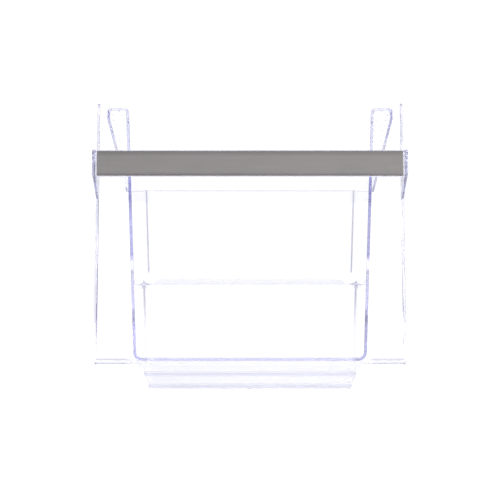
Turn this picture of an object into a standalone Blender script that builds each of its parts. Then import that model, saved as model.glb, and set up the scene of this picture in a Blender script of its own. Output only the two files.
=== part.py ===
"""Clear pull-out refrigerator drawer with a grey handle trim.

Metres, +Z up. The front faces -Y and the back +Y, and the drawer stands on Z = 0 with the
middle of its outer box at X = 0, Y = 0. A depth is measured back from the front panel's face,
so the handle, which reaches forward of the panel, has negative depths.
"""
import math

import bmesh
import bpy
from mathutils import Matrix

# Front panel: a plate with a rim turned back, a hooked handle lip and two upright ears.
PANEL_WIDTH = 0.3066
PANEL_WALL = 0.003
PANEL_TOP = 0.201
PANEL_CORNER = 0.004
RIM_REACH = 0.008
BOTTOM_RIM = 0.004
EAR_ABOVE_RAIL = 0.0055
EAR_LENGTH = 0.043
EAR_REACH = 0.014
EAR_SHOULDER = 0.016
EAR_TO_RAIL = 0.0069
HANDLE_REACH = 0.056
LIP_BELOW_TRIM = 0.0005
LIP_RADIUS = 0.0005
GUSSET_BELOW_TOP = 0.036
GUSSET_ABOVE_LIP = 0.003

# Bin: floor, two drafted sides, a stepped back and a rail along the top of each side. Its
# width is what the ears leave between them.
FLOOR_LIFT = 0.0025
BIN_WALL = 0.003
BIN_TOP = 0.2595
BIN_DEPTH = 0.350
BIN_FLOOR_DEPTH = 0.215
BIN_DRAFT = math.radians(2.3)
BACK_LEAN = 0.002
LEDGE_FRONT_HEIGHT = 0.117
LEDGE_BACK_HEIGHT = 0.150
BIN_CORNER = 0.009

# Rails: a flange turned out from each side, with a lip turned down and pockets underneath.
RAIL_REACH = 0.0189
RAIL_LIP_DROP = 0.012
RAIL_BEFORE_BACK = 0.032
RAIL_ROOT_RADIUS = 0.002
RAIL_LIP_RADIUS = 0.0008
RAIL_RIB_WIDTH = 0.0015
RAIL_RIB_HEIGHT = 0.0015
POCKET_WIDTH = 0.0052
POCKET_LENGTH = 0.0125
POCKET_PITCH = 0.0202
POCKET_DEPTH = 0.0012
POCKET_FIRST = 0.0085
POCKET_EDGE = 0.0012

# Ribs across the underside of the floor, and the moulding gate's dimple between them.
FLOOR_RIB_PITCH = 0.089
FLOOR_RIB_WIDTH = 0.003
GATE_BEFORE_STEP = 0.014
GATE_RADIUS = 0.0025
GATE_RECESS = 0.0005

# Handle trim: a shallow channel clipped over a land on the lip's front.
TRIM_FROM_SIDE = 0.005
TRIM_HEIGHT = 0.0248
TRIM_THICKNESS = 0.003
TRIM_WALL = 0.0012
TRIM_RADIUS = 0.0018
TRIM_BELOW_TOP = 0.0017
LAND_END_GAP = 0.002

# Fits.
CLEARANCE = 0.0003
SEAT_DEPTH = 0.001
FOOT_GAP = 0.0015
WELD = 0.00001

PANEL_HALF = PANEL_WIDTH / 2
RIM_INNER = PANEL_HALF - PANEL_WALL
TRIM_HALF = PANEL_HALF - TRIM_FROM_SIDE
TRIM_TOP = PANEL_TOP - TRIM_BELOW_TOP
TRIM_BOTTOM = TRIM_TOP - TRIM_HEIGHT
TRIM_FRONT = -(HANDLE_REACH + CLEARANCE + TRIM_THICKNESS)
LIP_BOTTOM = TRIM_BOTTOM - LIP_BELOW_TRIM
GUSSET_FOOT = PANEL_TOP - GUSSET_BELOW_TOP
EAR_TOP = BIN_TOP + EAR_ABOVE_RAIL
EAR_FOOT = EAR_TOP - EAR_LENGTH
BIN_FRONT = PANEL_WALL - SEAT_DEPTH + CLEARANCE
MIDDLE_DEPTH = (BIN_DEPTH + TRIM_FRONT) / 2
RIM_HEIGHT = BIN_TOP - BIN_WALL
RAIL_LENGTH = BIN_DEPTH - RAIL_BEFORE_BACK
RAIL_ROOT_X = RIM_INNER - EAR_TO_RAIL - RAIL_REACH
RAIL_LIP_X = RAIL_ROOT_X + RAIL_REACH - BIN_WALL


def y_at(depth):
    """World Y of a depth behind the front panel's face."""
    return depth - MIDDLE_DEPTH


def bin_half_width(height):
    """Half the bin's outer width at a height, sides leaning out by the draft."""
    return RAIL_ROOT_X - (RIM_HEIGHT - height) * math.tan(BIN_DRAFT)


FLAT_RISE = FLOOR_LIFT + BIN_CORNER
FLAT_HALF = bin_half_width(FLAT_RISE) - BIN_CORNER / math.cos(BIN_DRAFT)


def clear_scene():
    """Remove everything that a new file starts with."""
    for item in list(bpy.data.objects):
        bpy.data.objects.remove(item, do_unlink=True)


def new_collection(name):
    """Make a collection in the scene."""
    collection = bpy.data.collections.new(name)
    bpy.context.scene.collection.children.link(collection)
    return collection


def principled(name, color, roughness, metallic):
    """Make a plain Principled material."""
    material = bpy.data.materials.new(name)
    material.use_nodes = True
    material.diffuse_color = (*color, 1.0)
    shader = material.node_tree.nodes["Principled BSDF"]
    shader.inputs["Base Color"].default_value = (*color, 1.0)
    shader.inputs["Roughness"].default_value = roughness
    shader.inputs["Metallic"].default_value = metallic
    return material


def object_from(bm, name, collection):
    """Turn a bmesh into an object."""
    mesh = bpy.data.meshes.new(name)
    bm.to_mesh(mesh)
    bm.free()
    item = bpy.data.objects.new(name, mesh)
    collection.objects.link(item)
    return item


def tool_from(bm, name, tools):
    """Turn a bmesh of closed shapes into a hidden object that only feeds a Boolean."""
    bmesh.ops.recalc_face_normals(bm, faces=bm.faces[:])
    item = object_from(bm, name, tools)
    item.hide_render = True
    item.display_type = "WIRE"
    return item


def add_box(bm, x_span, depth_span, z_span):
    """Add a box between two X values, two depths and two heights."""
    low = (x_span[0], y_at(depth_span[0]), z_span[0])
    high = (x_span[1], y_at(depth_span[1]), z_span[1])
    middle = [(a + b) / 2 for a, b in zip(low, high)]
    size = [b - a for a, b in zip(low, high)]
    place = Matrix.Translation(middle) @ Matrix.Diagonal((*size, 1.0))
    bmesh.ops.create_cube(bm, size=1.0, matrix=place)


def add_prism(bm, points, step):
    """Add a flat outline and carry it along a step, closed at both ends."""
    face = bm.faces.new([bm.verts.new(point) for point in points])
    swept = bmesh.ops.extrude_face_region(bm, geom=[face])
    moved = [item for item in swept["geom"] if isinstance(item, bmesh.types.BMVert)]
    bmesh.ops.translate(bm, verts=moved, vec=step)


def bent_sheet(bm, line, half_width, top_normal):
    """Sweep a (depth, height) line across the width, its topmost face up for 1 or down for -1."""
    verts = [bm.verts.new((-half_width, y_at(depth), height)) for depth, height in line]
    edges = [bm.edges.new(pair) for pair in zip(verts, verts[1:])]
    made = bmesh.ops.extrude_edge_only(bm, edges=edges)["geom"]
    moved = [item for item in made if isinstance(item, bmesh.types.BMVert)]
    bmesh.ops.translate(bm, verts=moved, vec=(2 * half_width, 0.0, 0.0))
    bmesh.ops.recalc_face_normals(bm, faces=bm.faces[:])
    top = max(bm.faces, key=lambda f: f.calc_center_median().z)
    if top.normal.z * top_normal < 0:
        bmesh.ops.reverse_faces(bm, faces=bm.faces[:])


def boolean(item, tool, operation):
    """Join a tool to an object, or cut it away."""
    modifier = item.modifiers.new(tool.name, "BOOLEAN")
    modifier.operation = operation
    modifier.solver = "EXACT"
    modifier.object = tool


def solidify(item, thickness):
    """Give an open surface an even wall on its inner side."""
    modifier = item.modifiers.new("wall", "SOLIDIFY")
    modifier.thickness = thickness
    modifier.offset = -1.0
    modifier.use_even_offset = True


def round_edges(bm, edges, radius, segments):
    """Round edges that meet near a right angle, to a radius."""
    bmesh.ops.bevel(
        bm,
        geom=edges,
        offset=radius,
        offset_type="OFFSET",
        segments=segments,
        profile=0.5,
        affect="EDGES",
        clamp_overlap=False,
        material=-1,
    )


def fold_edges(bm):
    """Every edge where two faces meet at an angle."""
    return [e for e in bm.edges if len(e.link_faces) == 2 and e.calc_face_angle() > 0.1]


def arc(center, radius, start, end, steps):
    """Points along an arc, angles in radians."""
    turn = (end - start) / steps
    angles = [start + turn * index for index in range(steps + 1)]
    return [(center[0] + radius * math.cos(a), center[1] + radius * math.sin(a)) for a in angles]


def u_path(inset, top):
    """Half of the bin's cross-section, (X, Z) from the middle of the floor up to a height.

    The inset is measured square to the wall, inward from the bin's outer skin.
    """
    corner = arc((FLAT_HALF, FLAT_RISE), BIN_CORNER - inset, -math.pi / 2, -BIN_DRAFT, 8)
    end = (bin_half_width(top) - inset / math.cos(BIN_DRAFT), top)
    return [(0.0, FLOOR_LIFT + inset)] + corner + [end]


def u_band(inset_out, inset_in, top):
    """Closed (X, Z) outline between two insets of the bin's cross-section, both sides."""
    outer = u_path(inset_out, top)
    inner = u_path(inset_in, top)
    right = outer[1:] + inner[:0:-1]
    left = [(-x, z) for x, z in reversed(right)]
    return right + left


# ------------------------------------------------------------------------------------- bin


def bin_skin(bm):
    """The bin's outer skin, open at the front and the top."""
    outline = [
        (BIN_FRONT, FLOOR_LIFT),
        (BIN_FLOOR_DEPTH, FLOOR_LIFT),
        (BIN_FLOOR_DEPTH + BACK_LEAN, LEDGE_FRONT_HEIGHT),
        (BIN_DEPTH - BACK_LEAN, LEDGE_BACK_HEIGHT),
        (BIN_DEPTH, RIM_HEIGHT),
        (RAIL_LENGTH, RIM_HEIGHT),
        (BIN_FRONT, RIM_HEIGHT),
    ]
    add_prism(bm, [(-1.0, y_at(d), z) for d, z in outline], (2.0, 0.0, 0.0))
    for vert in bm.verts:
        vert.co.x *= bin_half_width(vert.co.z)
    bmesh.ops.recalc_face_normals(bm, faces=bm.faces[:])
    open_faces = [f for f in bm.faces if f.normal.z > 0.95 or f.normal.y < -0.95]
    bmesh.ops.delete(bm, geom=open_faces, context="FACES")


def is_rail_edge(edge):
    """Whether an edge is a side's top edge, between the front and the rail's end."""
    ends = [v.co for v in edge.verts]
    along = abs(ends[0].x - ends[1].x) < WELD and abs(ends[0].y - ends[1].y) > WELD
    high = all(end.z > RIM_HEIGHT - WELD for end in ends)
    return along and high and all(end.y < y_at(RAIL_LENGTH) + WELD for end in ends)


def pull_edges(bm, edges):
    """Extrude edges, and return the new vertices and the new edges opposite the old ones."""
    made = bmesh.ops.extrude_edge_only(bm, edges=edges)["geom"]
    verts = [item for item in made if isinstance(item, bmesh.types.BMVert)]
    outer = [e for e in bm.edges if all(v in verts for v in e.verts)]
    return verts, outer


def turn_out_rails(bm):
    """Turn a flange out from each side's top edge, then a lip down from it."""
    roots = [e for e in bm.edges if is_rail_edge(e)]
    verts, outer = pull_edges(bm, roots)
    for vert in verts:
        vert.co.x += math.copysign(RAIL_REACH - BIN_WALL, vert.co.x)
    tips, _ = pull_edges(bm, outer)
    bmesh.ops.translate(bm, verts=tips, vec=(0.0, 0.0, BIN_WALL - RAIL_LIP_DROP))
    round_edges(bm, roots, RAIL_ROOT_RADIUS, 3)
    round_edges(bm, [e for e in outer if e.is_valid], RAIL_LIP_RADIUS, 2)


def bin_shell(collection):
    """The bin's walls and rails as one skin with an even wall."""
    bm = bmesh.new()
    bin_skin(bm)
    turn = math.pi / 2 - BIN_DRAFT
    round_edges(bm, fold_edges(bm), BIN_CORNER * math.tan(turn / 2), 6)
    turn_out_rails(bm)
    shell = object_from(bm, "bin", collection)
    solidify(shell, BIN_WALL)
    return shell


def rail_details(tools):
    """The rib under each flange, and the pockets on both sides of it."""
    ribs = bmesh.new()
    pockets = bmesh.new()
    middle = (RAIL_ROOT_X + RAIL_LIP_X) / 2
    count = int((RAIL_LENGTH - POCKET_FIRST - POCKET_LENGTH) / POCKET_PITCH) + 1
    under = (RIM_HEIGHT - RAIL_RIB_HEIGHT, RIM_HEIGHT + BIN_WALL / 2)
    cut = (RIM_HEIGHT - CLEARANCE, RIM_HEIGHT + POCKET_DEPTH)
    for side in (-1, 1):
        edges = sorted(side * (middle + half * RAIL_RIB_WIDTH / 2) for half in (-1, 1))
        add_box(ribs, edges, (BIN_FRONT + CLEARANCE, RAIL_LENGTH - CLEARANCE), under)
        for column in (-1, 1):
            near = middle + column * (RAIL_RIB_WIDTH / 2 + POCKET_EDGE)
            span = sorted((side * near, side * (near + column * POCKET_WIDTH)))
            for index in range(count):
                start = POCKET_FIRST + index * POCKET_PITCH
                add_box(pockets, span, (start, start + POCKET_LENGTH), cut)
    return tool_from(ribs, "rail_ribs", tools), tool_from(pockets, "rail_pockets", tools)


def floor_ribs(tools):
    """Ribs across the underside of the floor, with round ends, that the bin stands on."""
    bm = bmesh.new()
    half = FLAT_HALF + FLOOR_LIFT
    root = FLOOR_LIFT + BIN_WALL / 2
    right = arc((FLAT_HALF, FLOOR_LIFT), FLOOR_LIFT, -math.pi / 2, 0.0, 5) + [(half, root)]
    outline = right + [(-x, z) for x, z in reversed(right)]
    count = int((BIN_FLOOR_DEPTH - BIN_CORNER - FLOOR_RIB_WIDTH) / FLOOR_RIB_PITCH)
    for index in range(count):
        front = y_at((index + 1) * FLOOR_RIB_PITCH - FLOOR_RIB_WIDTH / 2)
        add_prism(bm, [(x, front, z) for x, z in outline], (0.0, FLOOR_RIB_WIDTH, 0.0))
    return tool_from(bm, "floor_ribs", tools)


def gate_dimple(tools):
    """The round dimple that the moulding gate leaves under the floor."""
    bm = bmesh.new()
    bmesh.ops.create_cone(
        bm,
        cap_ends=True,
        segments=24,
        radius1=GATE_RADIUS,
        radius2=GATE_RADIUS,
        depth=2 * GATE_RECESS,
        matrix=Matrix.Translation((0.0, y_at(BIN_FLOOR_DEPTH - GATE_BEFORE_STEP), FLOOR_LIFT)),
    )
    return tool_from(bm, "gate_dimple", tools)


def make_bin(parts, tools):
    """The clear bin with its rails."""
    item = bin_shell(parts)
    ribs, pockets = rail_details(tools)
    boolean(item, ribs, "UNION")
    boolean(item, floor_ribs(tools), "UNION")
    boolean(item, pockets, "DIFFERENCE")
    boolean(item, gate_dimple(tools), "DIFFERENCE")
    item.data.materials.append(principled("clear_bin", (0.80, 0.81, 0.90), 0.06, 0.0))


# --------------------------------------------------------------------------- front panel


def panel_face(collection):
    """The face plate and the hooked lip along its top, as one bent sheet."""
    bm = bmesh.new()
    under = PANEL_TOP - PANEL_WALL
    behind = PANEL_WALL - HANDLE_REACH
    line = [(0.0, 0.0), (0.0, under), (behind, under), (behind, LIP_BOTTOM)]
    bent_sheet(bm, line, PANEL_HALF - PANEL_WALL / 2, -1)
    round_edges(bm, fold_edges(bm), LIP_RADIUS, 3)
    item = object_from(bm, "front_panel", collection)
    solidify(item, PANEL_WALL)
    return item


def web_outline():
    """(depth, height) outline of one side web: the rim, the ear above and the gusset in front."""
    corner = PANEL_CORNER
    tip = EAR_REACH / 2
    nose = arc((corner, corner), corner, math.pi, 1.5 * math.pi, 4)
    crown = arc((tip, EAR_TOP - tip), tip, 0.0, math.pi, 10)
    return nose + [
        (RIM_REACH, 0.0),
        (RIM_REACH, EAR_FOOT),
        (EAR_REACH, EAR_FOOT + EAR_SHOULDER),
    ] + crown + [
        (0.0, PANEL_TOP),
        (-HANDLE_REACH, PANEL_TOP),
        (-HANDLE_REACH, LIP_BOTTOM + GUSSET_ABOVE_LIP),
        (0.0, GUSSET_FOOT),
    ]


def panel_webs(tools):
    """Side webs, joined to both ends of the face."""
    bm = bmesh.new()
    for x in (-PANEL_HALF, RIM_INNER):
        outline = [(x, y_at(d), z) for d, z in web_outline()]
        add_prism(bm, outline, (PANEL_WALL, 0.0, 0.0))
    return tool_from(bm, "panel_webs", tools)


def panel_feet(tools):
    """The rim along the bottom of each wing, and the land that holds the trim."""
    bm = bmesh.new()
    start = bin_half_width(BOTTOM_RIM) + FOOT_GAP
    for side in (-1, 1):
        span = sorted((side * start, side * (RIM_INNER + PANEL_WALL / 2)))
        add_box(bm, span, (PANEL_WALL / 2, RIM_REACH), (0.0, BOTTOM_RIM))
    inset = TRIM_WALL + CLEARANCE
    half = TRIM_HALF - LAND_END_GAP
    land_front = TRIM_FRONT + inset
    heights = (TRIM_BOTTOM + inset, TRIM_TOP - inset)
    add_box(bm, (-half, half), (land_front, -HANDLE_REACH + PANEL_WALL / 2), heights)
    return tool_from(bm, "panel_feet", tools)


def bin_seat(tools):
    """The groove in the panel's back that the bin's front edge sits in."""
    bm = bmesh.new()
    band = u_band(-CLEARANCE, BIN_WALL + CLEARANCE, PANEL_TOP + BIN_WALL)
    front = y_at(PANEL_WALL - SEAT_DEPTH)
    add_prism(bm, [(x, front, z) for x, z in band], (0.0, 2 * SEAT_DEPTH, 0.0))
    return tool_from(bm, "bin_seat", tools)


def make_front_panel(parts, tools):
    """The clear front panel with its rim, ears and handle lip."""
    item = panel_face(parts)
    boolean(item, panel_webs(tools), "UNION")
    boolean(item, panel_feet(tools), "UNION")
    boolean(item, bin_seat(tools), "DIFFERENCE")
    item.data.materials.append(principled("clear_panel", (0.84, 0.85, 0.93), 0.05, 0.0))


# --------------------------------------------------------------------------- handle trim


def make_handle_trim(parts):
    """The grey channel that covers the lip's front."""
    back = -HANDLE_REACH - CLEARANCE
    top = TRIM_TOP
    bottom = TRIM_BOTTOM
    line = [(back, top), (TRIM_FRONT, top), (TRIM_FRONT, bottom), (back, bottom)]
    bm = bmesh.new()
    bent_sheet(bm, line, TRIM_HALF, 1)
    round_edges(bm, fold_edges(bm), TRIM_RADIUS, 4)
    item = object_from(bm, "handle_trim", parts)
    solidify(item, TRIM_WALL)
    item.data.materials.append(principled("satin_grey", (0.29, 0.275, 0.28), 0.42, 0.7))


def build():
    """Make the whole drawer."""
    clear_scene()
    parts = new_collection("refrigerator_drawer")
    tools = new_collection("tools")
    make_bin(parts, tools)
    make_front_panel(parts, tools)
    make_handle_trim(parts)


build()
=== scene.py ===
"""Clear pull-out refrigerator drawer with a satin grey handle trim.

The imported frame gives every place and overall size, in metres with +Z up and the front towards -Y.
Each sub-assembly is a class that builds its mesh with bmesh operators and dresses it in its finish.
"""

import logging
import math
from collections.abc import Callable
from dataclasses import dataclass, field
from enum import Enum

import bmesh
import bpy
from mathutils import Matrix, Vector


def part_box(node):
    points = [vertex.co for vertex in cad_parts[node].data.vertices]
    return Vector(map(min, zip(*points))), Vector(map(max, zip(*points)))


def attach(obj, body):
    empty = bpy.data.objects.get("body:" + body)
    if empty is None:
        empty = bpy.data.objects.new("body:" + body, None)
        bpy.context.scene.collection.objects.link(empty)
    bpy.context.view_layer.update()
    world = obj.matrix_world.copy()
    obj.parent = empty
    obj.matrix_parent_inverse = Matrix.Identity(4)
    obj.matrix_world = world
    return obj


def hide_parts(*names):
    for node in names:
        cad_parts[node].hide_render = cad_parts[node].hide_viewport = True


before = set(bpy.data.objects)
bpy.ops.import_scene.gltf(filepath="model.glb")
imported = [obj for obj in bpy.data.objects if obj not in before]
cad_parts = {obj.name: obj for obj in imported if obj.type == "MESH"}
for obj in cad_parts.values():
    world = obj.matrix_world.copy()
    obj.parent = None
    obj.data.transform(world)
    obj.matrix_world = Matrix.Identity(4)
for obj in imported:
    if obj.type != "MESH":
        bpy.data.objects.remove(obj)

LOG = logging.getLogger("drawer")
TRIM_REACH = 0.0593  # metres from the panel's face to the front of the handle trim
TINY = 0.00001  # metres; places closer than this are one place
SQUARE_ON = 0.95  # least part of a face's normal that lies along the axis it is square to
FOLD_ANGLE = 0.1  # radians; faces that meet at more than this make a fold
ROUND_STEPS = 3  # faces across a small rounding
ROUND_PROFILE = 0.5  # a bevel profile that is part of a circle
WHOLE = (1.0, 1.0, 1.0)  # no stretch, or full white
FROM_MIDDLE = -1.0  # a least distance from the middle that everything passes
MIX_SOCKETS = {"RGBA": (6, 7, 2), "VECTOR": (4, 5, 1)}  # a Mix node's A, B and result

Triple = tuple[float, float, float]
Color = tuple[float, float, float]
Point2 = tuple[float, float]
Span = tuple[float, float]
Band = tuple[Span, Span]  # where a number starts and ends, each as (from, to)


class Slot(Enum):
    """Names of material slots."""

    BIN = "clear_bin"
    PANEL = "clear_panel"
    TRIM = "satin_grey"


class Cut(Enum):
    """How a tool shape changes a piece."""

    JOIN = "UNION"
    REMOVE = "DIFFERENCE"


# ------------------------------------------------------------------------------ mesh helpers


def arc(center: Point2, radius: float, start: float, end: float, steps: int) -> list[Point2]:
    """Points along an arc.

    Args:
        center: Middle of the arc.
        radius: Radius in metres.
        start: First angle in radians.
        end: Last angle in radians.
        steps: Number of chords.

    Returns:
        The points from start to end, both included.
    """
    turn = (end - start) / steps
    angles = [start + turn * index for index in range(steps + 1)]
    return [(center[0] + radius * math.cos(a), center[1] + radius * math.sin(a)) for a in angles]


def edges_of(verts: list[bmesh.types.BMVert]) -> list[bmesh.types.BMEdge]:
    """Every edge that ends at one of the vertices, each once and always in the same order."""
    return list(dict.fromkeys(edge for vert in verts for edge in vert.link_edges))


def add_prism(
    bm: bmesh.types.BMesh, points: list[Vector], step: Vector, rounding: float = 0.0
) -> None:
    """Extrude a flat outline into a closed prism.

    Args:
        bm: The mesh to add to.
        points: The outline's corners in order.
        step: How far and which way the outline is carried.
        rounding: Radius along both ends' outlines.
    """
    near = [bm.verts.new(point) for point in points]
    face = bm.faces.new(near)
    swept = bmesh.ops.extrude_face_region(bm, geom=[face])
    far = [item for item in swept["geom"] if isinstance(item, bmesh.types.BMVert)]
    bmesh.ops.translate(bm, verts=far, vec=step)
    if rounding > 0.0:
        ends = (set(near), set(far))
        outline = [e for e in edges_of(near + far) if any(set(e.verts) <= end for end in ends)]
        round_edges(bm, outline, rounding, ROUND_STEPS)


def add_box(
    bm: bmesh.types.BMesh, x_span: Span, y_span: Span, z_span: Span, rounding: float = 0.0
) -> None:
    """Add a box between two X, two Y and two Z values.

    Args:
        bm: The mesh to add to.
        x_span: Two X values, in any order.
        y_span: Two Y values, in any order.
        z_span: Two Z values, in any order.
        rounding: Radius of all its edges.
    """
    spans = [sorted(span) for span in (x_span, y_span, z_span)]
    middle = [(low + high) / 2 for low, high in spans]
    size = [high - low for low, high in spans]
    place = Matrix.Translation(middle) @ Matrix.Diagonal((*size, 1.0))
    verts = bmesh.ops.create_cube(bm, size=1.0, matrix=place)["verts"]
    if rounding > 0.0:
        round_edges(bm, edges_of(verts), rounding, ROUND_STEPS)


def pull_edges(
    bm: bmesh.types.BMesh, edges: list[bmesh.types.BMEdge]
) -> tuple[list[bmesh.types.BMVert], list[bmesh.types.BMEdge]]:
    """Extrude edges into a strip of faces that starts with no width.

    Args:
        bm: The mesh that holds the edges.
        edges: The edges to extrude.

    Returns:
        The new vertices, and the new edges opposite the old ones.
    """
    made = bmesh.ops.extrude_edge_only(bm, edges=edges)["geom"]
    verts = [item for item in made if isinstance(item, bmesh.types.BMVert)]
    return verts, [e for e in bm.edges if all(v in verts for v in e.verts)]


def fold_edges(bm: bmesh.types.BMesh) -> list[bmesh.types.BMEdge]:
    """Every edge where two faces meet at an angle."""
    shared = [e for e in bm.edges if len(e.link_faces) == 2]
    return [e for e in shared if e.calc_face_angle() > FOLD_ANGLE]


def round_edges(
    bm: bmesh.types.BMesh, edges: list[bmesh.types.BMEdge], radius: float, segments: int
) -> None:
    """Round edges with an even bevel.

    Args:
        bm: The mesh that holds the edges.
        edges: The edges to round.
        radius: Width of the bevel on each side of the edge.
        segments: Number of faces across the rounding.
    """
    bmesh.ops.bevel(
        bm,
        geom=edges,
        offset=radius,
        offset_type="OFFSET",
        segments=segments,
        profile=ROUND_PROFILE,
        affect="EDGES",
        clamp_overlap=False,
        material=-1,
    )


def bent_sheet(
    bm: bmesh.types.BMesh, line: list[Point2], half_width: float, top_normal: float
) -> None:
    """Sweep a line of (Y, Z) points across the width as an open sheet.

    Args:
        bm: The mesh to add to.
        line: The sheet's profile seen from the side.
        half_width: Half its width along X.
        top_normal: 1 when its topmost face points up, -1 when it points down.
    """
    verts = [bm.verts.new((-half_width, y, z)) for y, z in line]
    edges = [bm.edges.new(pair) for pair in zip(verts, verts[1:])]
    moved, _ = pull_edges(bm, edges)
    bmesh.ops.translate(bm, verts=moved, vec=(2 * half_width, 0.0, 0.0))
    bmesh.ops.recalc_face_normals(bm, faces=bm.faces[:])
    top = max(bm.faces, key=lambda face: face.calc_center_median().z)
    if top.normal.z * top_normal < 0:
        bmesh.ops.reverse_faces(bm, faces=bm.faces[:])


def object_from(bm: bmesh.types.BMesh, name: str) -> bpy.types.Object:
    """Turn a bmesh into an object in the scene, and free the bmesh.

    Args:
        bm: The finished bmesh.
        name: The object's name.

    Returns:
        The new object, at the origin.
    """
    mesh = bpy.data.meshes.new(name)
    bm.to_mesh(mesh)
    bm.free()
    piece = bpy.data.objects.new(name, mesh)
    bpy.context.scene.collection.objects.link(piece)
    return piece


@dataclass
class Maker:
    """Finishes one piece: wall thickness, joins and cuts, edge rounding and clean shading."""

    piece: bpy.types.Object
    tools: list[bpy.types.Object] = field(default_factory=list)
    sharp_angle: float = math.radians(35)
    split_angle: float = math.radians(30)
    flat_weight: int = 90

    def wall(self, thickness: float) -> None:
        """Give an open sheet an even wall on its inner side."""
        modifier = self.piece.modifiers.new("wall", "SOLIDIFY")
        modifier.thickness = thickness
        modifier.offset = -1.0
        modifier.use_even_offset = True

    def combine(self, cut: Cut, name: str, build: Callable[[bmesh.types.BMesh], None]) -> None:
        """Join a tool shape to the piece, or cut it away.

        Args:
            cut: Whether the tool joins or removes.
            name: The tool's name.
            build: Adds the tool's closed shapes to an empty bmesh.
        """
        bm = bmesh.new()
        build(bm)
        bmesh.ops.recalc_face_normals(bm, faces=bm.faces[:])
        tool = object_from(bm, name)
        modifier = self.piece.modifiers.new(name, "BOOLEAN")
        modifier.operation = cut.value
        modifier.solver = "EXACT"
        modifier.object = tool
        self.tools.append(tool)

    def soften(self, width: float) -> None:
        """Round every sharp edge by a little, as a mould leaves it."""
        modifier = self.piece.modifiers.new("edges", "BEVEL")
        modifier.width = width
        modifier.segments = 2
        modifier.profile = ROUND_PROFILE
        modifier.limit_method = "ANGLE"
        modifier.angle_limit = self.sharp_angle
        modifier.use_clamp_overlap = True

    def finish(self) -> bpy.types.Object:
        """Apply everything, remove the tools and shade the result smooth.

        Returns:
            The finished object.
        """
        graph = bpy.context.evaluated_depsgraph_get()
        mesh = bpy.data.meshes.new_from_object(self.piece.evaluated_get(graph))
        self.piece.modifiers.clear()
        self.piece.data = mesh
        for tool in self.tools:
            bpy.data.objects.remove(tool, do_unlink=True)
        self.weld(mesh)
        mesh.shade_smooth()
        mesh.set_sharp_from_angle(angle=self.split_angle)
        flat = self.piece.modifiers.new("even_faces", "WEIGHTED_NORMAL")
        flat.keep_sharp = True
        flat.weight = self.flat_weight
        return self.piece

    @staticmethod
    def weld(mesh: bpy.types.Mesh) -> None:
        """Merge doubled vertices and drop the slivers that a cut can leave."""
        bm = bmesh.new()
        bm.from_mesh(mesh)
        bmesh.ops.remove_doubles(bm, verts=bm.verts[:], dist=TINY / 2)
        bmesh.ops.dissolve_degenerate(bm, edges=bm.edges[:], dist=TINY / 2)
        bm.to_mesh(mesh)
        bm.free()


# ------------------------------------------------------------------------------ node helpers


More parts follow.
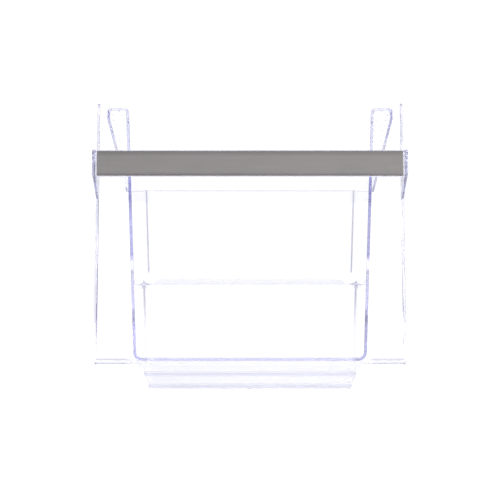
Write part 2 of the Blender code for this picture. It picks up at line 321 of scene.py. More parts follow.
@dataclass
class Nodes:
    """A short way to add and join shader nodes in one tree."""

    tree: bpy.types.NodeTree

    def add(self, kind: str, **settings: object) -> bpy.types.Node:
        """Add a node and set its properties."""
        node = self.tree.nodes.new(kind)
        for name, value in settings.items():
            setattr(node, name, value)
        return node

    def feed(self, target: bpy.types.NodeSocket, source: object) -> None:
        """Join a socket to an input, or set the input to a plain value."""
        if isinstance(source, bpy.types.NodeSocket):
            self.tree.links.new(source, target)
        else:
            target.default_value = source

    def math(self, operation: str, *values: object, clamp: bool = False) -> bpy.types.NodeSocket:
        """Work out a number from other numbers.

        Args:
            operation: The Math node's operation.
            values: Sockets or plain numbers, in the node's order.
            clamp: Whether the result is kept between 0 and 1.

        Returns:
            The result's socket.
        """
        node = self.add("ShaderNodeMath", operation=operation, use_clamp=clamp)
        for target, value in zip(node.inputs, values):
            self.feed(target, value)
        return node.outputs[0]

    def span(self, value: object, low: Span, high: Span) -> bpy.types.NodeSocket:
        """Map a number from one range to another, kept inside it.

        Args:
            value: The number to map.
            low: Where the ranges start: (from, to).
            high: Where the ranges end: (from, to).

        Returns:
            The mapped number's socket.
        """
        node = self.add("ShaderNodeMapRange", interpolation_type="SMOOTHSTEP")
        for target, number in zip(node.inputs, (value, low[0], high[0], low[1], high[1])):
            self.feed(target, number)
        return node.outputs[0]

    def noise(self, vector: object, scale: float, detail: float = 3.0) -> bpy.types.NodeSocket:
        """Cloudy noise between 0 and 1."""
        node = self.add("ShaderNodeTexNoise")
        self.feed(node.inputs["Vector"], vector)
        node.inputs["Scale"].default_value = scale
        node.inputs["Detail"].default_value = detail
        return node.outputs["Fac"]

    def stretched(self, scale: Triple) -> bpy.types.NodeSocket:
        """Object coordinates, stretched along the axes."""
        place = self.add("ShaderNodeTexCoord").outputs["Object"]
        node = self.add("ShaderNodeMapping")
        self.feed(node.inputs["Vector"], place)
        node.inputs["Scale"].default_value = scale
        return node.outputs["Vector"]

    def blend(self, kind: str, share: object, first: object, second: object) -> bpy.types.NodeSocket:
        """Blend two colours or vectors.

        Args:
            kind: RGBA or VECTOR.
            share: How much of the second one.
            first: The value where the share is 0.
            second: The value where the share is 1.

        Returns:
            The blend's socket.
        """
        node = self.add("ShaderNodeMix", data_type=kind)
        low, high, result = MIX_SOCKETS[kind]
        self.feed(node.inputs[0], share)
        self.feed(node.inputs[low], first)
        self.feed(node.inputs[high], second)
        return node.outputs[result]

    def blend_shaders(self, share: object, first: object, second: object) -> bpy.types.NodeSocket:
        """Blend two shaders; the share is how much of the second one."""
        node = self.add("ShaderNodeMixShader")
        for target, source in zip(node.inputs, (share, first, second)):
            self.feed(target, source)
        return node.outputs[0]

    def axes(self, output: str = "Object") -> bpy.types.NodeOutputs:
        """The X, Y and Z of a texture coordinate, one socket each."""
        node = self.add("ShaderNodeSeparateXYZ")
        self.feed(node.inputs[0], self.add("ShaderNodeTexCoord").outputs[output])
        return node.outputs

    def group(self, name: str, *values: float) -> bpy.types.NodeOutputs:
        """Add one of the shared groups, with plain values for its inputs in order."""
        node = self.add("ShaderNodeGroup", node_tree=GROUPS[name]())
        for target, value in zip(node.inputs, values):
            self.feed(target, value)
        return node.outputs

    def bump(self, height: object, strength: float, distance: float) -> bpy.types.NodeSocket:
        """A normal tilted by a height map."""
        node = self.add("ShaderNodeBump")
        node.inputs["Strength"].default_value = strength
        node.inputs["Distance"].default_value = distance
        self.feed(node.inputs["Height"], height)
        return node.outputs["Normal"]


def new_group(
    name: str, inputs: tuple[str, ...], outputs: tuple[str, ...]
) -> tuple[Nodes, bpy.types.NodeOutputs, bpy.types.NodeInputs]:
    """Make an empty shader node group of plain numbers.

    Args:
        name: The group's name.
        inputs: The inputs' names.
        outputs: The outputs' names.

    Returns:
        The group's nodes, the sockets that bring its inputs and those that take its outputs.
    """
    group = bpy.data.node_groups.new(name, "ShaderNodeTree")
    for way, labels in (("INPUT", inputs), ("OUTPUT", outputs)):
        for label in labels:
            group.interface.new_socket(label, in_out=way, socket_type="NodeSocketFloat")
    nodes = Nodes(group)
    return nodes, nodes.add("NodeGroupInput").outputs, nodes.add("NodeGroupOutput").inputs


def handling_marks() -> bpy.types.NodeTree:
    """Group of the faint smudges and fine scratches that a used clear plastic shows.

    Returns:
        The group, with a Roughness and a Height that change over the surface.
    """
    smudge_scale = 14.0
    smudge_band = ((0.45, 0.0), (0.75, 1.0))
    scratch_stretch = (12.0, 60.0, 260.0)
    scratch_band = ((0.62, 0.0), (0.70, 1.0))
    wave_scale = 22.0
    inputs = ("Smudges", "Scratches")
    nodes, start, end = new_group("handling_marks", inputs, ("Roughness", "Height"))
    place = nodes.stretched(WHOLE)
    cloud = nodes.span(nodes.noise(place, smudge_scale), *smudge_band)
    streak = nodes.noise(nodes.stretched(scratch_stretch), 1.0, 2.0)
    line = nodes.span(streak, *scratch_band)
    smudge = nodes.math("MULTIPLY", cloud, start["Smudges"])
    scratch = nodes.math("MULTIPLY", line, start["Scratches"])
    nodes.feed(end["Roughness"], nodes.math("ADD", smudge, scratch))
    nodes.feed(end["Height"], nodes.noise(place, wave_scale, 1.0))
    return nodes.tree


def matt_and_painted_shade_zone() -> bpy.types.NodeTree:
    """Group that masks a box-shaped zone on both sides of the middle.

    Returns:
        The group: the zone's limits and edge in, a Mask between 0 and 1 out.
    """
    inputs = ("X Low", "X High", "Y Low", "Y High", "Z Low", "Z High", "Edge")
    nodes, start, end = new_group("matt_and_painted_shade_zone", inputs, ("Mask",))
    axes = nodes.axes()
    across = nodes.math("ABSOLUTE", axes["X"])
    gaps = []
    for place, letter in ((across, "X"), (axes["Y"], "Y"), (axes["Z"], "Z")):
        gaps.append(nodes.math("SUBTRACT", place, start[f"{letter} Low"]))
        gaps.append(nodes.math("SUBTRACT", start[f"{letter} High"], place))
    inside = gaps[0]
    for gap in gaps[1:]:
        inside = nodes.math("MINIMUM", inside, gap)
    nodes.feed(end["Mask"], nodes.math("DIVIDE", inside, start["Edge"], clamp=True))
    return nodes.tree


def painted_fold_shade() -> bpy.types.NodeTree:
    """Group that paints shade on a flat bar, darker towards the folds along its top and bottom.

    Returns:
        The group: the bar's limits, then each fold's width and depth in, a Shade out.
    """
    inputs = ("Low", "High", "Top Width", "Top Depth", "Bottom Width", "Bottom Depth")
    nodes, start, end = new_group("painted_fold_shade", inputs, ("Shade",))
    height = nodes.axes()["Z"]
    shades = []
    from_top = nodes.math("SUBTRACT", start["High"], height)
    from_bottom = nodes.math("SUBTRACT", height, start["Low"])
    for gap, side in ((from_top, "Top"), (from_bottom, "Bottom")):
        share = nodes.math("DIVIDE", gap, start[f"{side} Width"], clamp=True)
        lost = nodes.math("MULTIPLY", nodes.math("SUBTRACT", 1.0, share), start[f"{side} Depth"])
        shades.append(nodes.math("SUBTRACT", 1.0, lost))
    nodes.feed(end["Shade"], nodes.math("MULTIPLY", *shades))
    return nodes.tree


# ------------------------------------------------------------------------------- finishes


def blank_material(name: str) -> tuple[bpy.types.Material, Nodes]:
    """Make a material with no nodes in it.

    Args:
        name: The material's name.

    Returns:
        The material, and its empty node tree.
    """
    material = bpy.data.materials.new(name)
    material.use_nodes = True
    material.node_tree.nodes.clear()
    return material, Nodes(material.node_tree)


@dataclass(frozen=True)
class Grade:
    """How one zone of a mould is finished, and how much painted shade it takes.

    Attributes:
        matt: Its roughness.
        shade: The share of painted shade, in the deeper tint, that it takes.
        edge: Over how many metres it fades in.
    """

    matt: float = 0.0
    shade: float = 0.0
    edge: float = 0.002


# The shade of each grade is painted shade: a deeper tint standing in for the dark lines that light
# gives in thick clear plastic.
FLOOR_BAND = Grade(matt=0.2, shade=0.04)
STEP_TOP = Grade(matt=0.22, shade=0.06)
UNDER_RIB = Grade(matt=0.15, shade=0.36, edge=0.0003)
RAIL_END = Grade(matt=0.3, shade=0.25, edge=0.0005)
PANEL_SIDE = Grade(shade=0.45, edge=0.0008)
PANEL_FOOT = Grade(shade=0.6, edge=0.0003)


@dataclass(frozen=True)
class Zone:
    """A box-shaped zone of a mould, on both sides of the middle.

    Attributes:
        x_span: Its nearest and furthest distance from the middle plane.
        y_span: Its two Y values.
        z_span: Its two Z values.
        grade: How it is finished, and how much painted shade it takes.
    """

    x_span: Span
    y_span: Span
    z_span: Span
    grade: Grade


@dataclass(frozen=True)
class ClearPlastic:
    """Polished clear plastic whose thick edges show a lavender tint, with painted shade in a deeper
    tint on some zones.
    """

    name: str
    tint: Color = (0.985, 0.985, 1.0)
    painted_shade_tint: Color = (0.45, 0.45, 0.62)
    body: Color = (0.45, 0.45, 0.80)
    density: float = 1.0
    ior: float = 1.57
    roughness: float = 0.012
    smudges: float = 0.03
    scratches: float = 0.015
    waviness: float = 0.02
    wave_height: float = 0.0004
    speckle_scale: float = 900.0
    speckle_band: Band = ((0.3, 0.75), (0.7, 1.0))
    zones: tuple[Zone, ...] = ()

    def material(self) -> bpy.types.Material:
        """Build the material.

        Returns:
            A clear material with a tinted inside, faint marks, and zones that are matt or carry
            painted shade.
        """
        material, nodes = blank_material(self.name)
        shader = nodes.add("ShaderNodeBsdfPrincipled")
        shader.inputs["Metallic"].default_value = 0.0
        shader.inputs["IOR"].default_value = self.ior
        shader.inputs["Transmission Weight"].default_value = 1.0
        marks = nodes.group("marks", self.smudges, self.scratches)
        rough = nodes.math("ADD", marks["Roughness"], self.roughness)
        shade = 0.0
        for zone in self.zones:
            mask = self.mask(nodes, zone)
            matt = nodes.math("MULTIPLY", mask, zone.grade.matt)
            rough = nodes.math("MAXIMUM", rough, matt)
            deep = nodes.math("MULTIPLY", mask, zone.grade.shade)
            shade = nodes.math("MAXIMUM", shade, deep)
        nodes.feed(shader.inputs["Roughness"], rough)
        # Painted shade: the zones darken the base colour towards the deeper tint.
        color = nodes.blend("RGBA", shade, (*self.tint, 1.0), (*self.painted_shade_tint, 1.0))
        nodes.feed(shader.inputs["Base Color"], color)
        normal = nodes.bump(marks["Height"], self.waviness, self.wave_height)
        nodes.feed(shader.inputs["Normal"], normal)
        inside = nodes.add("ShaderNodeVolumeAbsorption")
        inside.inputs["Color"].default_value = (*self.body, 1.0)
        inside.inputs["Density"].default_value = self.density
        end = nodes.add("ShaderNodeOutputMaterial")
        nodes.feed(end.inputs["Surface"], self.lamp_side(nodes, shader.outputs[0]))
        nodes.feed(end.inputs["Volume"], inside.outputs[0])
        return material

    def mask(self, nodes: Nodes, zone: Zone) -> bpy.types.NodeSocket:
        """Mask one zone, for its matt finish and its painted shade, with a fine speckle from the
        mould's texture.
        """
        limits = (*zone.x_span, *zone.y_span, *zone.z_span, zone.grade.edge)
        inside = nodes.group("zone", *limits)["Mask"]
        speckle = nodes.noise(nodes.stretched(WHOLE), self.speckle_scale, 2.0)
        grain = nodes.span(speckle, *self.speckle_band)
        return nodes.math("MULTIPLY", inside, grain)

    def lamp_side(self, nodes: Nodes, surface: bpy.types.NodeSocket) -> bpy.types.NodeSocket:
        """Let lamp light through, so that what stands behind the wall is lit."""
        path = nodes.add("ShaderNodeLightPath")
        clear = nodes.add("ShaderNodeBsdfTransparent")
        clear.inputs["Color"].default_value = (*self.tint, 1.0)
        return nodes.blend_shaders(path.outputs["Is Shadow Ray"], surface, clear.outputs[0])


@dataclass(frozen=True)
class SatinTrim:
    """Grey trim with a satin, faintly brushed face, and painted shade that darkens it towards its
    folds.
    """

    name: str
    z_span: Span
    color: Color = (0.239, 0.227, 0.221)
    metallic: float = 0.55
    roughness: float = 0.42
    top_fold_painted_shade: Point2 = (0.0060, 0.36)
    bottom_fold_painted_shade: Point2 = (0.0030, 0.34)
    grain_stretch: Triple = (25.0, 900.0, 1400.0)
    grain_detail: float = 4.0
    grain_shade: float = 0.05
    grain_roughness: float = 0.06
    cloud_scale: float = 18.0
    cloud_shade: float = 0.03
    speck_scale: float = 2600.0
    speck_shade: float = 0.04
    noise_span: Span = (0.3, 0.7)
    bump_strength: float = 0.12
    bump_height: float = 0.00006

    def vary(self, nodes: Nodes, noise: bpy.types.NodeSocket, amount: float) -> bpy.types.NodeSocket:
        """Turn a noise into a number that runs from minus the amount to the amount."""
        low, high = self.noise_span
        return nodes.span(noise, (low, -amount), (high, amount))

    def painted_fold_shade(self, nodes: Nodes) -> bpy.types.NodeSocket:
        """How much painted shade darkens the face towards its top and bottom folds."""
        return nodes.group("folds", *self.z_span, *self.top_fold_painted_shade, *self.bottom_fold_painted_shade)["Shade"]

    def material(self) -> bpy.types.Material:
        """Build the material.

        Returns:
            A satin grey material with a fine grain along the bar and painted shade at its folds.
        """
        material = bpy.data.materials.new(self.name)
        material.use_nodes = True
        nodes = Nodes(material.node_tree)
        shader = material.node_tree.nodes["Principled BSDF"]
        shader.inputs["Metallic"].default_value = self.metallic
        grain = nodes.noise(nodes.stretched(self.grain_stretch), 1.0, self.grain_detail)
        cloud = nodes.noise(nodes.stretched(WHOLE), self.cloud_scale)
        speck = nodes.noise(nodes.stretched(WHOLE), self.speck_scale, 2.0)
        shade = nodes.math("ADD", self.vary(nodes, grain, self.grain_shade), 1.0)
        shade = nodes.math("ADD", shade, self.vary(nodes, cloud, self.cloud_shade))
        shade = nodes.math("ADD", shade, self.vary(nodes, speck, self.speck_shade))
        # Painted shade: the colour is darkened towards the top and bottom folds.
        shade = nodes.math("MULTIPLY", shade, self.painted_fold_shade(nodes))
        color = nodes.add("ShaderNodeVectorMath", operation="SCALE")
        color.inputs[0].default_value = self.color
        nodes.feed(color.inputs["Scale"], shade)
        nodes.feed(shader.inputs["Base Color"], color.outputs[0])
        rough = nodes.math("ADD", self.vary(nodes, grain, self.grain_roughness), self.roughness)
        nodes.feed(shader.inputs["Roughness"], rough)
        height = nodes.math("ADD", grain, speck)
        normal = nodes.bump(height, self.bump_strength, self.bump_height)
        nodes.feed(shader.inputs["Normal"], normal)
        return material


@dataclass(frozen=True)
class StudioFloor:
    """Pale matt floor that shows from above only, so a low camera looks past it."""

    name: str = "studio_floor"
    color: Color = (0.92, 0.92, 0.92)

    def material(self) -> bpy.types.Material:
        """Build the material.

        Returns:
            A pale matt material, clear on its underside.
        """
        material, nodes = blank_material(self.name)
        paint = nodes.add("ShaderNodeBsdfDiffuse")
        paint.inputs["Color"].default_value = (*self.color, 1.0)
        clear = nodes.add("ShaderNodeBsdfTransparent")
        underside = nodes.add("ShaderNodeNewGeometry").outputs["Backfacing"]
        surface = nodes.blend_shaders(underside, paint.outputs[0], clear.outputs[0])
        end = nodes.add("ShaderNodeOutputMaterial")
        nodes.feed(end.inputs["Surface"], surface)
        return material


@dataclass
class GroupShelf:
    """Builds each node group once and hands out the same one afterwards."""

    build: Callable[[], bpy.types.NodeTree]
    made: bpy.types.NodeTree | None = None

    def __call__(self) -> bpy.types.NodeTree:
        """The group, built on first use."""
        if self.made is None:
            self.made = self.build()
        return self.made


GROUPS = {
    "marks": GroupShelf(handling_marks),
    "zone": GroupShelf(matt_and_painted_shade_zone),
    "folds": GroupShelf(painted_fold_shade),
}


# ---------------------------------------------------------------------------- sub-assemblies


@dataclass
class ClearBin:
    """The bin: floor on two ribs, drafted sides, stepped back, and a rail along each side."""

    panel_face: float
    wall: float = 0.003
    floor_half: float = 0.1142
    floor_lift: float = 0.0025
    draft: float = math.radians(2.3)
    floor_depth: float = 0.215
    back_lean: float = 0.002
    ledge: Span = (0.117, 0.150)
    corner: float = 0.009
    rail_length: float = 0.318
    rail_reach: float = 0.0189
    rail_drop: float = 0.012
    rib_width: float = 0.0015
    rib_height: float = 0.0015
    pocket: Point2 = (0.0052, 0.0125)
    pocket_depth: float = 0.0012
    pocket_pitch: float = 0.0202
    pocket_first: float = 0.0085
    pocket_edge: float = 0.0012
    floor_ribs: tuple[float, ...] = (0.089, 0.178)
    floor_rib_width: float = 0.003
    floor_rib_rounding: float = 0.0005
    gate: Point2 = (0.201, 0.0025)
    gate_cut: float = 0.001
    floor_bands: tuple[Span, ...] = ((0.030, 0.064), (0.108, 0.146))
    root_radius: float = 0.002
    lip_radius: float = 0.0008
    softening: float = 0.0006
    overlap: float = 0.0003
    corner_steps: int = 12
    root_steps: int = 4
    rib_end_steps: int = 8
    gate_steps: int = 32
    density: float = 1.8

    def __post_init__(self) -> None:
        """Take the overall sizes from the frame."""
        low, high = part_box("bin")
        self.front = low.y
        self.back = high.y
        self.top = high.z
        self.rim = self.top - self.wall
        self.root_x = self.half_width(self.rim)
        self.lip_x = self.root_x + self.rail_reach - self.wall
        self.flat_rise = self.floor_lift + self.corner
        self.flat_half = self.half_width(self.flat_rise) - self.corner / math.cos(self.draft)

    def half_width(self, height: float) -> float:
        """Half the bin's outer width at a height."""
        return self.floor_half + height * math.tan(self.draft)

    def y_at(self, depth: float) -> float:
        """World Y of a depth behind the front panel's face."""
        return self.panel_face + depth

    def skin(self, bm: bmesh.types.BMesh) -> None:
        """Add the bin's outer skin, open at the front and the top.

        Args:
            bm: The mesh to add to.
        """
        outline = [
            (self.front, self.floor_lift),
            (self.y_at(self.floor_depth), self.floor_lift),
            (self.y_at(self.floor_depth + self.back_lean), self.ledge[0]),
            (self.back - self.back_lean, self.ledge[1]),
            (self.back, self.rim),
            (self.y_at(self.rail_length), self.rim),
            (self.front, self.rim),
        ]
        add_prism(bm, [Vector((-1.0, y, z)) for y, z in outline], Vector((2.0, 0.0, 0.0)))
        for vert in bm.verts:
            vert.co.x *= self.half_width(vert.co.z)
        bmesh.ops.recalc_face_normals(bm, faces=bm.faces[:])
        open_faces = [
            face for face in bm.faces if face.normal.z > SQUARE_ON or face.normal.y < -SQUARE_ON
        ]
        bmesh.ops.delete(bm, geom=open_faces, context="FACES")

    def is_rail_root(self, edge: bmesh.types.BMEdge) -> bool:
        """Whether an edge is a side's top edge, between the front and the rail's end."""
        ends = [v.co for v in edge.verts]
        along = abs(ends[0].x - ends[1].x) < TINY < abs(ends[0].y - ends[1].y)
        high = all(end.z > self.rim - TINY for end in ends)
        return along and high and all(end.y < self.y_at(self.rail_length) + TINY for end in ends)

    def turn_out_rails(self, bm: bmesh.types.BMesh) -> None:
        """Turn a flange out from each side's top edge, then a lip down from it."""
        roots = [e for e in bm.edges if self.is_rail_root(e)]
        verts, outer = pull_edges(bm, roots)
        for vert in verts:
            vert.co.x = math.copysign(self.lip_x, vert.co.x)
        tips, _ = pull_edges(bm, outer)
        bmesh.ops.translate(bm, verts=tips, vec=(0.0, 0.0, self.wall - self.rail_drop))
        round_edges(bm, roots, self.root_radius, self.root_steps)
        round_edges(bm, [e for e in outer if e.is_valid], self.lip_radius, ROUND_STEPS)

    def rail_ribs(self, bm: bmesh.types.BMesh) -> None:
        """Add the rib that runs along under each flange."""
        middle = (self.root_x + self.lip_x) / 2
        half = self.rib_width / 2
        y_span = (self.front + self.overlap, self.y_at(self.rail_length) - self.overlap)
        z_span = (self.rim - self.rib_height, self.rim + self.wall / 2)
        for side in (-1, 1):
            x_span = (side * middle - half, side * middle + half)
            add_box(bm, x_span, y_span, z_span)

    def rail_pockets(self, bm: bmesh.types.BMesh) -> None:
        """Add the pockets on both sides of each rib."""
        middle = (self.root_x + self.lip_x) / 2
        width, length = self.pocket
        room = self.rail_length - self.pocket_first - length
        starts = [
            self.y_at(self.pocket_first + index * self.pocket_pitch)
            for index in range(int(room / self.pocket_pitch) + 1)
        ]
        z_span = (self.rim - self.overlap, self.rim + self.pocket_depth)
        for side in (-1, 1):
            for column in (-1, 1):
                near = middle + column * (self.rib_width / 2 + self.pocket_edge)
                x_span = (side * near, side * (near + column * width))
                for start in starts:
                    add_box(bm, x_span, (start, start + length), z_span)

    def under_ribs(self, bm: bmesh.types.BMesh) -> None:
        """Add the ribs across the underside of the floor, with round ends."""
        lift = self.floor_lift
        half = self.flat_half + lift
        right = arc((self.flat_half, lift), lift, -math.pi / 2, 0.0, self.rib_end_steps)
        right.append((half, lift + self.wall / 2))
        outline = right + [(-x, z) for x, z in reversed(right)]
        for depth in self.floor_ribs:
            front = self.y_at(depth - self.floor_rib_width / 2)
            points = [Vector((x, front, z)) for x, z in outline]
            step = Vector((0.0, self.floor_rib_width, 0.0))
            add_prism(bm, points, step, self.floor_rib_rounding)

    def gate_dimple(self, bm: bmesh.types.BMesh) -> None:
        """Add the round dimple of the moulding gate."""
        depth, radius = self.gate
        place = Matrix.Translation((0.0, self.y_at(depth), self.floor_lift))
        bmesh.ops.create_cone(
            bm,
            cap_ends=True,
            segments=self.gate_steps,
            radius1=radius,
            radius2=radius,
            depth=self.gate_cut,
            matrix=place,
        )

    def floor_zones(self) -> list[Zone]:
        """The two matt bands on the floor, with a little painted shade."""
        side_margin = 0.004
        reach = 0.001
        x_span = (FROM_MIDDLE, self.flat_half - side_margin)
        z_span = (self.floor_lift - reach, self.floor_lift + reach)
        return [
            Zone(x_span, (self.y_at(start), self.y_at(end)), z_span, FLOOR_BAND)
            for start, end in self.floor_bands
        ]

    def step_zone(self) -> Zone:
        """The matt top of the step, with a little painted shade."""
        front_margin = 0.004
        back_margin = 0.008
        side_reach = 0.0005
        low_reach = 0.002
        x_span = (FROM_MIDDLE, self.flat_half + side_reach)
        y_span = (self.y_at(self.floor_depth + front_margin), self.back - back_margin)
        z_span = (self.ledge[0] - low_reach, self.ledge[1] + self.wall)
        return Zone(x_span, y_span, z_span, STEP_TOP)

    def rib_zones(self) -> list[Zone]:
        """The ribs under the floor, with painted shade."""
        margin = 0.0003
        reach = self.floor_rib_width / 2 + margin
        below = 0.003
        above = 0.0008
        x_span = (FROM_MIDDLE, self.floor_half)
        z_span = (-below, self.floor_lift + above)
        return [
            Zone(x_span, (self.y_at(depth - reach), self.y_at(depth + reach)), z_span, UNDER_RIB)
            for depth in self.floor_ribs
        ]

    def rail_end_zone(self) -> Zone:
        """The front ends of the rails, with painted shade."""
        reach = 0.002
        length = 0.0025
        x_span = (FROM_MIDDLE, self.lip_x + self.wall)
        y_span = (self.front - reach, self.front + length)
        z_span = (self.rim - reach, self.top + reach)
        return Zone(x_span, y_span, z_span, RAIL_END)

    def finish(self) -> ClearPlastic:
        """The bin's plastic, matt and with painted shade on the step, the ribs, the rails' ends and
        two floor bands.
        """
        zones = (*self.floor_zones(), self.step_zone(), *self.rib_zones(), self.rail_end_zone())
        return ClearPlastic("clear_bin_plastic", density=self.density, zones=zones)

    def build(self) -> bpy.types.Object:
        """Build and dress the bin.

        Returns:
            The finished piece.
        """
        bm = bmesh.new()
        self.skin(bm)
        turn = math.pi / 2 - self.draft
        width = self.corner * math.tan(turn / 2)
        round_edges(bm, fold_edges(bm), width, self.corner_steps)
        self.turn_out_rails(bm)
        maker = Maker(object_from(bm, "clear_bin_body"))
        maker.wall(self.wall)
        maker.soften(self.softening)
        maker.combine(Cut.JOIN, "rail_ribs", self.rail_ribs)
        maker.combine(Cut.JOIN, "under_ribs", self.under_ribs)
        maker.combine(Cut.REMOVE, "rail_pockets", self.rail_pockets)
        maker.combine(Cut.REMOVE, "gate_dimple", self.gate_dimple)
        piece = maker.finish()
        dress(piece, self.finish().material(), "bin")
        return piece


@dataclass
class FrontPanel:
    """The front: a face plate with a rim turned back, ears above, and a hooked handle lip."""

    bin: ClearBin
    wall: float = 0.003
    top: float = 0.201
    corner: float = 0.004
    rim: float = 0.008
    bottom_rim: float = 0.004
    ear_reach: float = 0.014
    ear_foot: Span = (0.222, 0.238)
    reach: float = 0.056
    drop: float = 0.027
    gusset: Span = (0.165, 0.177)
    web_rounding: float = 0.0014
    foot_rounding: float = 0.0012
    foot_start: float = 0.0015
    land_inset: float = 0.0015
    land_end: float = 0.002
    seat_depth: float = 0.001
    gap: float = 0.0003
    fold_radius: float = 0.0005
    softening: float = 0.0009
    fold_steps: int = 4
    corner_steps: int = 8
    crown_steps: int = 20
    seat_steps: int = 16
    body: Color = (0.30, 0.30, 0.62)
    density: float = 10.0

    def __post_init__(self) -> None:
        """Take the overall sizes from the frame."""
        low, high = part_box("front_panel")
        self.half = high.x
        self.ear_top = high.z
        self.face = self.bin.panel_face
        self.land_front = low.y

    def sheet(self, bm: bmesh.types.BMesh) -> None:
        """Add the face and the lip as one bent sheet: up the face, forward, and down."""
        under = self.top - self.wall
        behind = self.face + self.wall - self.reach
        line = [
            (self.face, 0.0),
            (self.face, under),
            (behind, under),
            (behind, self.top - self.drop),
        ]
        bent_sheet(bm, line, self.half - self.wall / 2, -1)
        round_edges(bm, fold_edges(bm), self.fold_radius, self.fold_steps)

    def web_outline(self) -> list[Point2]:
        """The (Y, Z) outline of a side: rim, ear above it and gusset in front."""
        corner = self.corner
        tip = self.ear_reach / 2
        nose = arc((corner, corner), corner, math.pi, 1.5 * math.pi, self.corner_steps)
        crown = arc((tip, self.ear_top - tip), tip, 0.0, math.pi, self.crown_steps)
        behind = [(self.rim, 0.0), (self.rim, self.ear_foot[0]), (self.ear_reach, self.ear_foot[1])]
        lip = [(0.0, self.top), (-self.reach, self.top), (-self.reach, self.gusset[1])]
        outline = nose + behind + crown + lip + [(0.0, self.gusset[0])]
        return [(self.face + depth, height) for depth, height in outline]

    def webs(self, bm: bmesh.types.BMesh) -> None:
        """Add the two sides."""
        for x in (-self.half, self.half - self.wall):
            outline = [Vector((x, y, z)) for y, z in self.web_outline()]
            add_prism(bm, outline, Vector((self.wall, 0.0, 0.0)), self.web_rounding)

    def feet_and_land(self, bm: bmesh.types.BMesh) -> None:
        """Add the rim along the bottom of each wing, and the land that holds the trim."""
        start = self.bin.half_width(self.bottom_rim) + self.foot_start
        end = self.half - self.wall / 2
        y_span = (self.face + self.wall / 2, self.face + self.rim)
        for side in (-1, 1):
            x_span = (side * start, side * end)
            add_box(bm, x_span, y_span, (0.0, self.bottom_rim), self.foot_rounding)
        low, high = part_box("handle_trim")
        inset = self.land_inset
        half = high.x - self.land_end
        y_span = (self.land_front, self.face - self.reach + self.wall / 2)
        add_box(bm, (-half, half), y_span, (low.z + inset, high.z - inset))

    def seat(self, bm: bmesh.types.BMesh) -> None:
        """Add the groove that the bin's front edge sits in."""
        source = self.bin
        top = self.top + self.wall
        edges = []
        for inset in (-self.gap, self.wall + self.gap):
            center = (source.flat_half, source.flat_rise)
            radius = source.corner - inset
            bend = arc(center, radius, -math.pi / 2, -source.draft, self.seat_steps)
            edges.append(bend + [(source.half_width(top) - inset / math.cos(source.draft), top)])
        right = edges[0] + edges[1][::-1]
        outline = right + [(-x, z) for x, z in reversed(right)]
        front = self.face + self.wall - self.seat_depth
        points = [Vector((x, front, z)) for x, z in outline]
        add_prism(bm, points, Vector((0.0, 2 * self.seat_depth, 0.0)))

    def finish(self) -> ClearPlastic:
        """The panel's plastic, with painted shade in a deeper tint along its sides and along the
        edges of its foot.
        """
        reach = 0.001
        side_width = 0.0034
        side_height = (0.040, 0.172)
        wing_start = 0.006
        margin = 0.002
        foot_lines = ((-0.002, 0.0013), (0.0034, 0.0050))
        depth = (self.face - reach, self.face + self.rim + reach)
        sides = (self.half - side_width, self.half + margin)
        wings = (self.bin.half_width(0.0) + wing_start, self.half - margin)
        feet = [Zone(wings, depth, line, PANEL_FOOT) for line in foot_lines]
        zones = (Zone(sides, depth, side_height, PANEL_SIDE), *feet)
        return ClearPlastic(
            "clear_panel_plastic", body=self.body, density=self.density, zones=zones
        )

    def build(self) -> bpy.types.Object:
        """Build and dress the front panel.

        Returns:
            The finished piece.
        """
        bm = bmesh.new()
        self.sheet(bm)
        maker = Maker(object_from(bm, "clear_front_panel"))
        maker.wall(self.wall)
        maker.soften(self.softening)
        maker.combine(Cut.JOIN, "webs", self.webs)
        maker.combine(Cut.JOIN, "feet_and_land", self.feet_and_land)
        maker.combine(Cut.REMOVE, "seat", self.seat)
        piece = maker.finish()
        dress(piece, self.finish().material(), "front_panel")
        return piece


@dataclass
class HandleTrim:
    """The satin channel clipped over the front of the lip."""

    wall: float = 0.0012
    radius: float = 0.0018
    bend_steps: int = 8
    softening: float = 0.0003

    def build(self) -> bpy.types.Object:
        """Build and dress the trim.

        Returns:
            The finished piece.
        """
        low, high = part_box("handle_trim")
        line = [(high.y, high.z), (low.y, high.z), (low.y, low.z), (high.y, low.z)]
        bm = bmesh.new()
        bent_sheet(bm, line, high.x, 1)
        round_edges(bm, fold_edges(bm), self.radius, self.bend_steps)
        maker = Maker(object_from(bm, "satin_handle_trim"))
        maker.wall(self.wall)
        maker.soften(self.softening)
        piece = maker.finish()
        finish = SatinTrim("satin_trim_grey", (low.z, high.z))
        dress(piece, finish.material(), "handle_trim")
        return piece


def dress(
    piece: bpy.types.Object, material: bpy.types.Material, node: str
) -> None:
    """Give a piece its material and its place in the frame.

    Args:
        piece: The finished piece.
        material: Its finish.
        node: The frame's node that the piece stands for.
    """
    piece.data.materials.clear()
    piece.data.materials.append(material)
    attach(piece, "root")
    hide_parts(node)
    LOG.info("%s stands for %s with %d faces", piece.name, node, len(piece.data.polygons))


# -------------------------------------------------------------------------------- studio


@dataclass(frozen=True)
class SoftBox:
    """A square soft light.

    Attributes:
        name: The light's name.
        place: Where it hangs, in metres.
        size: Its side in metres.
        power: Its power in watts.
    """

    name: str
    place: Triple
    size: float
    power: float


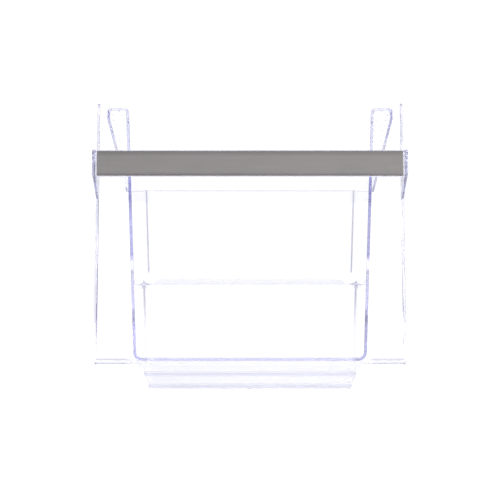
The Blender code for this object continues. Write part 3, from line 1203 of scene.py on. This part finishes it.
@dataclass
class Studio:
    """The floor, the soft light and the camera."""

    panel_face: float
    distance: float = 1.9475
    below: float = 0.2939
    aim_height: float = 0.113
    lens: float = 144.8
    clip_end: float = 50.0
    bounces: int = 128
    dim_light: Color = (0.30, 0.30, 0.46)
    soft_light: Color = (0.74, 0.74, 0.83)
    full_light: Color = (1.15, 1.15, 1.15)
    backdrop: float = 1.05
    facing_band: Band = ((0.945, 0.0), (0.99, 1.0))
    level_band: Band = ((0.30, 1.0), (0.40, 0.6))
    low_band: Band = ((0.155, 1.0), (0.175, 0.0))
    high_band: Band = ((0.6, 0.0), (0.85, 1.0))
    rise_band: Band = ((0.19, 0.0), (0.27, 1.0))
    lamp_aim: Triple = (0.0, 0.0, 0.12)
    lamps: tuple[SoftBox, ...] = (
        SoftBox("key_light", (0.9, -0.7, 0.35), 0.5, 5.8),
        SoftBox("fill_light", (-1.4, -1.4, 1.8), 1.4, 3.0),
        SoftBox("top_light", (0.0, 0.3, 2.2), 1.8, 9.0),
    )
    floor_size: float = 3.0
    floor_drop: float = 0.0006

    def floor(self) -> None:
        """Lay the pale floor just under the drawer."""
        bm = bmesh.new()
        place = Matrix.Translation((0.0, 0.0, -self.floor_drop))
        bmesh.ops.create_grid(bm, x_segments=1, y_segments=1, size=self.floor_size, matrix=place)
        plane = object_from(bm, "floor")
        plane.data.materials.append(StudioFloor().material())

    def surroundings(self, nodes: Nodes) -> bpy.types.NodeSocket:
        """The light from each direction, as the drawer sees it.

        Args:
            nodes: The world's nodes.

        Returns:
            Full white from the front, the back, below and overhead, and dimmer from the sides.
        """
        axes = nodes.axes("Generated")
        height = axes["Z"]
        flat = nodes.math("SUBTRACT", 1.0, nodes.math("MULTIPLY", height, height))
        ahead = nodes.math("DIVIDE", nodes.math("ABSOLUTE", axes["Y"]), nodes.math("SQRT", flat))
        level = nodes.span(height, *self.level_band)
        facing = nodes.math("MULTIPLY", nodes.span(ahead, *self.facing_band), level)
        low = nodes.span(height, *self.low_band)
        high = nodes.span(height, *self.high_band)
        share = nodes.math("MAXIMUM", nodes.math("MAXIMUM", low, high), facing)
        rise = nodes.span(height, *self.rise_band)
        sides = nodes.blend("VECTOR", rise, self.dim_light, self.soft_light)
        return nodes.blend("VECTOR", share, sides, self.full_light)

    def world(self) -> None:
        """Hang the surroundings, with a plain white backdrop for the camera."""
        world = bpy.data.worlds.new("studio_light")
        bpy.context.scene.world = world
        world.use_nodes = True
        nodes = Nodes(world.node_tree)
        world.node_tree.nodes.clear()
        light = nodes.add("ShaderNodeBackground")
        nodes.feed(light.inputs["Color"], self.surroundings(nodes))
        seen = nodes.add("ShaderNodeBackground")
        seen.inputs["Color"].default_value = (*WHOLE, 1.0)
        seen.inputs["Strength"].default_value = self.backdrop
        from_camera = nodes.add("ShaderNodeLightPath").outputs["Is Camera Ray"]
        surface = nodes.blend_shaders(from_camera, light.outputs[0], seen.outputs[0])
        end = nodes.add("ShaderNodeOutputWorld")
        nodes.feed(end.inputs["Surface"], surface)

    def hang(self, box: SoftBox) -> None:
        """Hang a soft light that faces the drawer.

        Args:
            box: The light to hang.
        """
        lamp = bpy.data.lights.new(box.name, "AREA")
        lamp.size = box.size
        lamp.energy = box.power
        item = bpy.data.objects.new(box.name, lamp)
        item.location = box.place
        aim = Vector(self.lamp_aim) - Vector(box.place)
        item.rotation_euler = aim.to_track_quat("-Z", "Y").to_euler()
        bpy.context.scene.collection.objects.link(item)

    def camera(self) -> None:
        """Stand the camera straight in front of the drawer, a little below it."""
        data = bpy.data.cameras.new("camera")
        data.lens = self.lens
        data.clip_end = self.clip_end
        item = bpy.data.objects.new("camera", data)
        item.location = (0.0, self.panel_face - self.distance, -self.below)
        aim = Vector((0.0, self.panel_face, self.aim_height)) - item.location
        item.rotation_euler = aim.to_track_quat("-Z", "Y").to_euler()
        bpy.context.scene.collection.objects.link(item)
        bpy.context.scene.camera = item

    def build(self) -> None:
        """Set up the whole studio."""
        self.floor()
        self.world()
        for box in self.lamps:
            self.hang(box)
        self.camera()
        scene = bpy.context.scene
        scene.view_settings.view_transform = "Standard"
        for kind in ("max", "transmission", "glossy", "transparent_max"):
            setattr(scene.cycles, f"{kind}_bounces", self.bounces)


def main() -> None:
    """Build the drawer and the studio, and report each piece."""
    logging.basicConfig(level=logging.INFO, format="%(name)s: %(message)s")
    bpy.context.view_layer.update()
    panel_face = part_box("handle_trim")[0].y + TRIM_REACH
    clear_bin = ClearBin(panel_face)
    clear_bin.build()
    FrontPanel(clear_bin).build()
    HandleTrim().build()
    Studio(panel_face).build()


if __name__ == "__main__":
    main()
